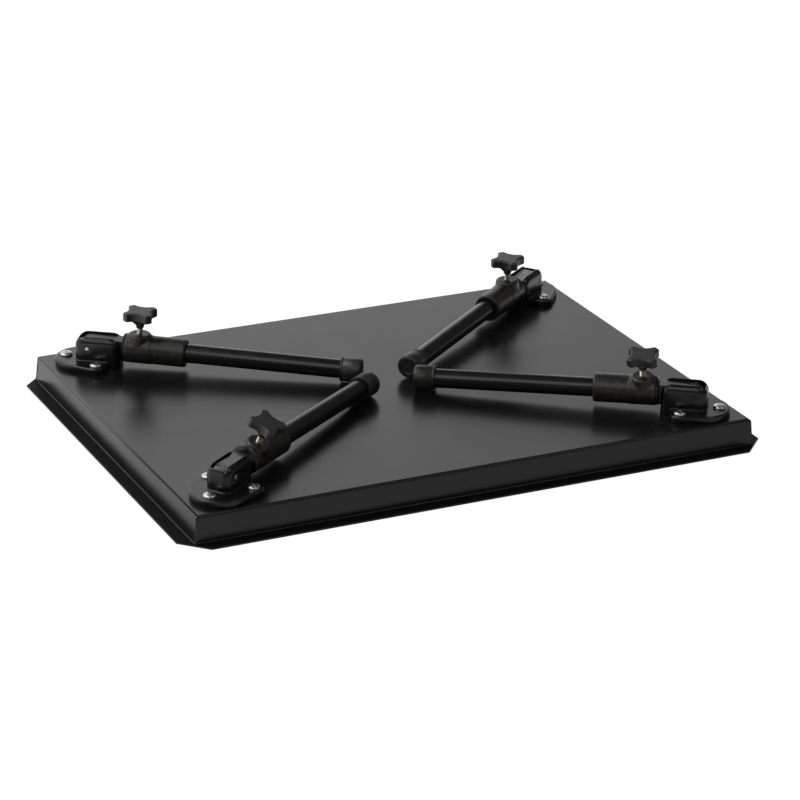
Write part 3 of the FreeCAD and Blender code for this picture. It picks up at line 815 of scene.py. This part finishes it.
    def fasten(self, corner: Corner, model: bpy.types.Object, lift: float, kind: str,
               turn: float) -> None:
        """Put a copy of a model at each screw of one bracket.

        Args:
            corner: Whose bracket.
            model: Screw or nut.
            lift: Height of the model's origin above the face.
            kind: CAD node, without the corner's name.
            turn: Turn from one copy to the next, in degrees.
        """
        base = corner.bracket_place()
        items = []
        for number, (along, across) in enumerate(self.spots()):
            spot = base @ Matrix.Translation((along, across, lift - self.pin_height))
            spin = Matrix.Rotation(
                math.radians(self.first_turn + number * turn), 4, "Z")
            items.append(copied(model, f"{corner.name}_{kind}_{number}", spot @ spin))
        item = joined(items, f"{corner.name}_{kind}_looks")
        self.wardrobe.dress(item, Surface.ZINC)
        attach(item, "tray_frame")
        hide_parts(f"{corner.name}_{kind}")
        LOG.info("built %s", item.name)

    def build_castings(self, corner: Corner) -> None:
        """Bracket and knuckle of one corner.

        Args:
            corner: Which corner.
        """
        bracket = moulded(
            f"{corner.name}_hinge_bracket", f"{corner.name}_hinge_bracket_looks",
            self.casting_grid, self.casting_passes)
        self.wardrobe.dress(bracket, Surface.BRACKET)
        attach(bracket, "tray_frame")
        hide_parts(f"{corner.name}_hinge_bracket")
        LOG.info("built %s", bracket.name)
        knuckle = skin_of(f"{corner.name}_hinge_knuckle",
                          f"{corner.name}_hinge_knuckle_looks")
        smooth(knuckle, self.crisp_steel)
        self.wardrobe.dress(knuckle, Surface.KNUCKLE)
        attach(knuckle, f"{corner.name}_knuckle")
        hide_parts(f"{corner.name}_hinge_knuckle")
        LOG.info("built %s", knuckle.name)

    def build(self) -> None:
        """Build all four units."""
        screw = self.model_screw()
        nut = self.model_nut()
        rivet = self.model_rivet()
        smooth(rivet, self.crisp_rivet)
        across = Matrix.Rotation(math.radians(90), 4, "X")
        for corner in CORNERS:
            self.build_castings(corner)
            self.fasten(
                corner, screw, self.plate, "bracket_screws", self.screw_turn)
            self.fasten(corner, nut, -self.sheet, "bracket_nuts", self.nut_turn)
            place = corner.bracket_place() @ across
            pin = copied(rivet, f"{corner.name}_hinge_pin_looks", place)
            self.wardrobe.dress(pin, Surface.RIVET)
            self.paint_shank(pin, place)
            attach(pin, "tray_frame")
            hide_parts(f"{corner.name}_hinge_pin")
            LOG.info("built %s", pin.name)
        for model in (screw, nut, rivet):
            discard(model)


@dataclass
class LegUnits:
    """The four legs: socket, tube, foot cap, clamp screw and knob.

    Attributes:
        wardrobe: Where the finishes come from.
        tube_radius: Tube.
        tube_wall: Wall of the tube.
        tube_from: Tube's inner end, from the collar's start.
        tube_to: Tube's outer end, from the collar's start.
        cap_radius: Foot cap.
        cap_from: Cap's mouth, from the collar's start.
        cap_to: Cap's end, from the collar's start.
        cap_floor: Thickness of the cap's end.
        stud_radius: Clamp screw's thread.
        stud_core: Clamp screw's thread at its root.
        stud_pitch: One turn of the clamp screw.
        stud_flank: Share of the pitch that each flank of the thread takes.
        stud_steps: Sections in one turn of the thread.
        stud_below: Clamp screw below the hub.
        stud_above: Clamp screw inside the knob.
        rim: Rounding of the tube's ends.
        socket_grid: Cells that a socket's surface is rebuilt from.
        socket_passes: How often that surface is relaxed.
        knob_grid: Cells that a knob's surface is rebuilt from.
        knob_passes: How often that surface is relaxed.
        crisp_tube: Edges sharper than this stay crisp on a tube, in degrees.
        crisp_cap: The same for a cap.
        crisp_stud: The same for a clamp screw.
    """

    wardrobe: Wardrobe
    tube_radius: float = 9.5 * MM
    tube_wall: float = 1.2 * MM
    tube_from: float = 5.2 * MM
    tube_to: float = 235.6 * MM
    cap_radius: float = 12.3 * MM
    cap_from: float = 218.6 * MM
    cap_to: float = 239.6 * MM
    cap_floor: float = 4 * MM
    stud_radius: float = 3 * MM
    stud_core: float = 2.45 * MM
    stud_pitch: float = 1 * MM
    stud_flank: float = 0.42
    stud_steps: int = 40
    stud_below: float = 13.25 * MM
    stud_above: float = 13 * MM
    rim: float = 0.25 * MM
    socket_grid: float = 0.55 * MM
    socket_passes: int = 5
    knob_grid: float = 0.42 * MM
    knob_passes: int = 12
    crisp_tube: float = 40.0
    crisp_cap: float = 45.0
    crisp_stud: float = 25.0

    def model_tube(self) -> bpy.types.Object:
        """Open steel tube along Z.

        Returns:
            The tube, the collar's start at the origin.
        """
        inner = self.tube_radius - self.tube_wall
        start, end, rim = self.tube_from, self.tube_to, self.rim
        model = turned("tube_model", [
            (inner, end - MM), (inner, start), (inner + rim, start),
            (self.tube_radius - rim, start), (self.tube_radius, start + rim),
            (self.tube_radius, end - rim), (self.tube_radius - rim, end),
            (inner + rim, end), (inner, end - rim)], 96)
        smooth(model, self.crisp_tube)
        return model

    def model_cap(self) -> bpy.types.Object:
        """Push-on cap along Z: lipped mouth, soft shoulder, flat end.

        Returns:
            The cap, the collar's start at the origin.
        """
        start, end, radius = self.cap_from, self.cap_to, self.cap_radius
        bore = self.tube_radius + 0.02 * MM
        model = turned("cap_model", [
            (bore, end - self.cap_floor), (bore, start + 0.4 * MM),
            (bore + 0.4 * MM, start), (radius - 0.5 * MM, start),
            (radius - 0.12 * MM, start + 0.15 * MM), (radius, start + 0.5 * MM),
            (radius, start + 1.7 * MM), (radius - 0.12 * MM, start + 2.0 * MM),
            (radius - 0.45 * MM, start + 2.15 * MM),
            (radius - 0.45 * MM, start + 2.7 * MM),
            (radius - 0.2 * MM, start + 3.0 * MM), (radius - 0.1 * MM, end - 2.6 * MM),
            (radius - 0.35 * MM, end - 1.5 * MM), (radius - 0.85 * MM, end - 0.7 * MM),
            (radius - 1.6 * MM, end - 0.2 * MM), (radius - 2.6 * MM, end),
            (radius - 5.5 * MM, end), (radius - 5.9 * MM, end - 0.4 * MM),
            (0.5 * MM, end - 0.4 * MM)], 96)
        smooth(model, self.crisp_cap)
        return model

    def model_stud(self) -> bpy.types.Object:
        """Clamp screw along Z with a helical thread.

        Returns:
            The screw, the hub's lower end at the origin.
        """
        turns = int((self.stud_below + self.stud_above) / self.stud_pitch) - 1
        pitch, root = self.stud_pitch, self.stud_core
        height, flank = self.stud_radius - root, self.stud_flank * pitch
        deselect()
        bpy.ops.mesh.primitive_plane_add(size=pitch, location=(root, 0, 0))
        model = bpy.context.object
        bpy.ops.object.transform_apply(location=True, rotation=True, scale=True)
        bpy.ops.object.mode_set(mode="EDIT")
        bpy.ops.mesh.select_all(action="SELECT")
        bpy.ops.mesh.merge(type="CENTER")
        for step in ((height, 0, flank), (0, 0, pitch - 2 * flank),
                     (-height, 0, flank)):
            bpy.ops.mesh.extrude_vertices_move(TRANSFORM_OT_translate={"value": step})
        bpy.ops.object.mode_set(mode="OBJECT")
        apply_modifier(model, "SCREW", {
            "angle": math.tau, "steps": self.stud_steps,
            "render_steps": self.stud_steps,
            "screw_offset": pitch, "iterations": turns, "axis": "Z",
            "use_merge_vertices": True, "merge_threshold": 0.001 * MM})
        model.data.transform(Matrix.Translation((0, 0, -self.stud_below + 0.5 * MM)))
        core = turned("stud_core", [
            (root - 0.5 * MM, -self.stud_below),
            (root + 0.1 * MM, -self.stud_below + MM),
            (root + 0.1 * MM, self.stud_above - MM),
            (root - 0.5 * MM, self.stud_above)], 40)
        model = joined([model, core], "stud_model")
        pick(model)
        bpy.ops.object.mode_set(mode="EDIT")
        bpy.ops.mesh.select_all(action="SELECT")
        bpy.ops.mesh.normals_make_consistent(inside=False)
        bpy.ops.object.mode_set(mode="OBJECT")
        smooth(model, self.crisp_stud)
        return model

    def finish(self, item: bpy.types.Object, node: str, body: str,
               surface: Surface) -> None:
        """Dress a piece, tie it to its body and hide the CAD node that it stands for.

        Args:
            item: The piece.
            node: CAD node that it stands for.
            body: Body that it moves with.
            surface: Its finish.
        """
        self.wardrobe.dress(item, surface)
        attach(item, body)
        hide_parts(node)
        LOG.info("built %s", item.name)

    def build(self) -> None:
        """Build all four legs."""
        tube, cap, stud = self.model_tube(), self.model_cap(), self.model_stud()
        lay = Matrix.Rotation(math.radians(90), 4, "Y")
        for corner in CORNERS:
            name = corner.name
            self.finish(
                copied(tube, f"{name}_leg_tube_looks", corner.leg_place() @ lay),
                f"{name}_leg_tube", f"{name}_leg", Surface.TUBE)
            self.finish(
                copied(cap, f"{name}_foot_cap_looks", corner.leg_place() @ lay),
                f"{name}_foot_cap", f"{name}_leg", Surface.RUBBER)
            self.finish(
                copied(stud, f"{name}_clamp_stud_looks", corner.knob_place()),
                f"{name}_clamp_stud", f"{name}_screw", Surface.STUD)
            self.finish(
                moulded(f"{name}_leg_socket", f"{name}_leg_socket_looks",
                        self.socket_grid, self.socket_passes),
                f"{name}_leg_socket", f"{name}_leg_head",
                Surface.SOCKET)
            self.finish(
                moulded(f"{name}_clamp_knob", f"{name}_clamp_knob_looks",
                        self.knob_grid, self.knob_passes),
                f"{name}_clamp_knob", f"{name}_knob", Surface.KNOB)
        for model in (tube, cap, stud):
            discard(model)


@dataclass(frozen=True)
class Fall:
    """How the white that the paint mirrors falls off across the studio.

    Attributes:
        weights: Weights of X, Y and Z in the sum that the white follows.
        low: Sum at the dim end.
        high: Sum at the bright end.
        least: Share of white at the dim end.
    """

    weights: tuple[float, float, float]
    low: float
    high: float
    least: float

    def share(self, tree: bpy.types.NodeTree,
              place: bpy.types.NodeSocket) -> bpy.types.NodeSocket:
        """Share of white in a direction or at a place.

        Args:
            tree: Node tree that gets the nodes.
            place: Socket of the direction or place.

        Returns:
            Socket that runs from the least share to one.
        """
        total = add_node(
            tree, "ShaderNodeVectorMath", {"operation": "DOT_PRODUCT"},
            {0: place, 1: self.weights})
        share = add_node(
            tree, "ShaderNodeMapRange", {"interpolation_type": "SMOOTHSTEP"},
            {"Value": total.outputs["Value"], "From Min": self.low,
             "From Max": self.high, "To Min": self.least, "To Max": 1.0})
        return share.outputs["Result"]


@dataclass(frozen=True)
class Lamp:
    """A square soft lamp that points at the platform.

    Attributes:
        name: Name of the lamp.
        place: Where it stands.
        size: Side of its face.
        power: Power in watts.
    """

    name: str
    place: tuple[float, float, float]
    size: float
    power: float

    def add(self) -> None:
        """Add the lamp to the scene."""
        light = bpy.data.lights.new(self.name, "AREA")
        light.shape = "SQUARE"
        light.size = self.size
        light.energy = self.power
        holder = bpy.data.objects.new(self.name, light)
        towards = -Vector(self.place)
        holder.rotation_euler = towards.to_track_quat("-Z", "Y").to_euler()
        holder.location = self.place
        bpy.context.scene.collection.objects.link(holder)


@dataclass
class Studio:
    """Pale floor and sky, soft lamps and the camera.

    Attributes:
        eye: Camera's place.
        forward: Direction that it looks in.
        roll: Turn about that direction, in degrees.
        lens: Focal length on the sensor's width, in millimetres.
        sensor: Sensor's width, in millimetres.
        far: How far the camera sees.
        floor_span: Side of the floor.
        sky: Strength of the backdrop as a lamp.
        behind: Fall of the mirrored backdrop: bright and low behind, dim overhead.
        ground: Fall of the mirrored floor: bright behind, dimmer in front.
        paper: Colour of the floor.
        lift: Strength of the floor's own white.
        lift_share: How much of the seen floor is that white; the rest keeps shadows.
        lamps: The soft lamps.
    """

    eye: tuple[float, float, float] = (-1.2326, -2.5519, 1.1830)
    forward: tuple[float, float, float] = (0.40574, 0.83064, -0.38133)
    roll: float = 1.21
    lens: float = 139.09
    sensor: float = 36.0
    far: float = 200.0
    floor_span: float = 60.0
    sky: float = 0.5
    behind: Fall = Fall((-0.6, 1.0, -0.7), -0.1, 0.46, 0.1)
    ground: Fall = Fall((-0.3, 1.0, 0.0), -0.3, 0.22, 0.42)
    paper: str = "#f4f4f4"
    lift: float = 1.1
    lift_share: float = 0.8
    lamps: tuple[Lamp, ...] = (
        Lamp("key", (-2.0, 0.9, 3.2), 2.0, 50.0),
        Lamp("fill", (1.4, -2.0, 3.0), 1.2, 10.0),
        Lamp("window", (-1.95, -1.85, 2.5), 2.2, 20.0))

    def add_camera(self) -> None:
        """Create the camera and make it the scene's."""
        camera = bpy.data.cameras.new("camera")
        camera.lens = self.lens
        camera.sensor_width = self.sensor
        camera.clip_end = self.far
        holder = bpy.data.objects.new("camera", camera)
        aim = Vector(self.forward).to_track_quat("-Z", "Y").to_matrix().to_4x4()
        turn = Matrix.Rotation(math.radians(self.roll), 4, "Z")
        holder.matrix_world = Matrix.Translation(self.eye) @ aim @ turn
        bpy.context.scene.collection.objects.link(holder)
        bpy.context.scene.camera = holder

    def add_sky(self) -> None:
        """White backdrop behind the platform; what mirrors the room's side is dim."""
        world = bpy.data.worlds.new("white_surroundings")
        world.use_nodes = True
        tree = world.node_tree
        tree.nodes.clear()
        rays = add_node(tree, "ShaderNodeLightPath")
        heading = add_node(tree, "ShaderNodeTexCoord").outputs["Generated"]
        share = self.behind.share(tree, heading)
        mirrored = add_node(
            tree, "ShaderNodeMix", {"data_type": "FLOAT"},
            {0: rays.outputs["Is Glossy Ray"], 2: self.sky, 3: share})
        seen = add_node(
            tree, "ShaderNodeMath", {"operation": "MAXIMUM"},
            {0: rays.outputs["Is Camera Ray"], 1: rays.outputs["Is Transmission Ray"]})
        strength = add_node(
            tree, "ShaderNodeMath", {"operation": "MAXIMUM"},
            {0: seen.outputs[0], 1: mirrored.outputs[0]})
        back = add_node(
            tree, "ShaderNodeBackground",
            inputs={"Color": WHITE, "Strength": strength.outputs[0]})
        add_node(
            tree, "ShaderNodeOutputWorld",
            inputs={"Surface": back.outputs["Background"]})
        bpy.context.scene.world = world

    def add_floor(self) -> None:
        """White floor that keeps the platform's shadow."""
        deselect()
        bpy.ops.mesh.primitive_plane_add(size=self.floor_span, location=(0, 0, 0))
        floor = bpy.context.object
        floor.name = "floor"
        material = bpy.data.materials.new("white_paper_floor")
        material.use_nodes = True
        tree = material.node_tree
        tree.nodes.clear()
        rays = add_node(tree, "ShaderNodeLightPath")
        seen = add_node(
            tree, "ShaderNodeMath", {"operation": "MAXIMUM"},
            {0: rays.outputs["Is Camera Ray"], 1: rays.outputs["Is Transmission Ray"]})
        paper = add_node(
            tree, "ShaderNodeBsdfDiffuse", inputs={"Color": linear_colour(self.paper)})
        lift = add_node(
            tree, "ShaderNodeEmission",
            inputs={"Color": WHITE, "Strength": self.lift})
        white = add_node(
            tree, "ShaderNodeMixShader",
            inputs={"Fac": self.lift_share, 1: paper.outputs["BSDF"],
                    2: lift.outputs["Emission"]})
        shown = add_node(
            tree, "ShaderNodeMixShader",
            inputs={"Fac": seen.outputs[0], 1: paper.outputs["BSDF"],
                    2: white.outputs["Shader"]})
        # Seen in mirrors the floor glows with painted light, full white behind and dimmer in
        # front.
        spot = add_node(tree, "ShaderNodeNewGeometry").outputs["Position"]
        share = self.ground.share(tree, spot)
        mirrored = add_node(
            tree, "ShaderNodeEmission",
            inputs={"Color": WHITE, "Strength": share})
        mixed = add_node(
            tree, "ShaderNodeMixShader",
            inputs={"Fac": rays.outputs["Is Glossy Ray"], 1: shown.outputs["Shader"],
                    2: mirrored.outputs["Emission"]})
        add_node(
            tree, "ShaderNodeOutputMaterial",
            inputs={"Surface": mixed.outputs["Shader"]})
        floor.data.materials.append(material)

    def build(self) -> None:
        """Build the whole studio."""
        self.add_camera()
        self.add_sky()
        self.add_floor()
        for lamp in self.lamps:
            lamp.add()
        bpy.context.scene.view_settings.view_transform = "Standard"


def dress_cad(wardrobe: Wardrobe) -> None:
    """Give each CAD node its finish.

    Args:
        wardrobe: Where the finishes come from.
    """
    for name, item in frame["nodes"].items():
        kind = next(key for key in CAD_FINISHES if name.endswith(key))
        wardrobe.dress(item, CAD_FINISHES[kind])
        LOG.info("dressed %s", name)


def main() -> None:
    """Build everything in order."""
    logging.basicConfig(level=logging.INFO, format="%(message)s")
    wardrobe = Wardrobe()
    dress_cad(wardrobe)
    SheetTray(wardrobe).build()
    HingeUnits(wardrobe).build()
    LegUnits(wardrobe).build()
    Studio().build()


if __name__ == "__main__":
    main()
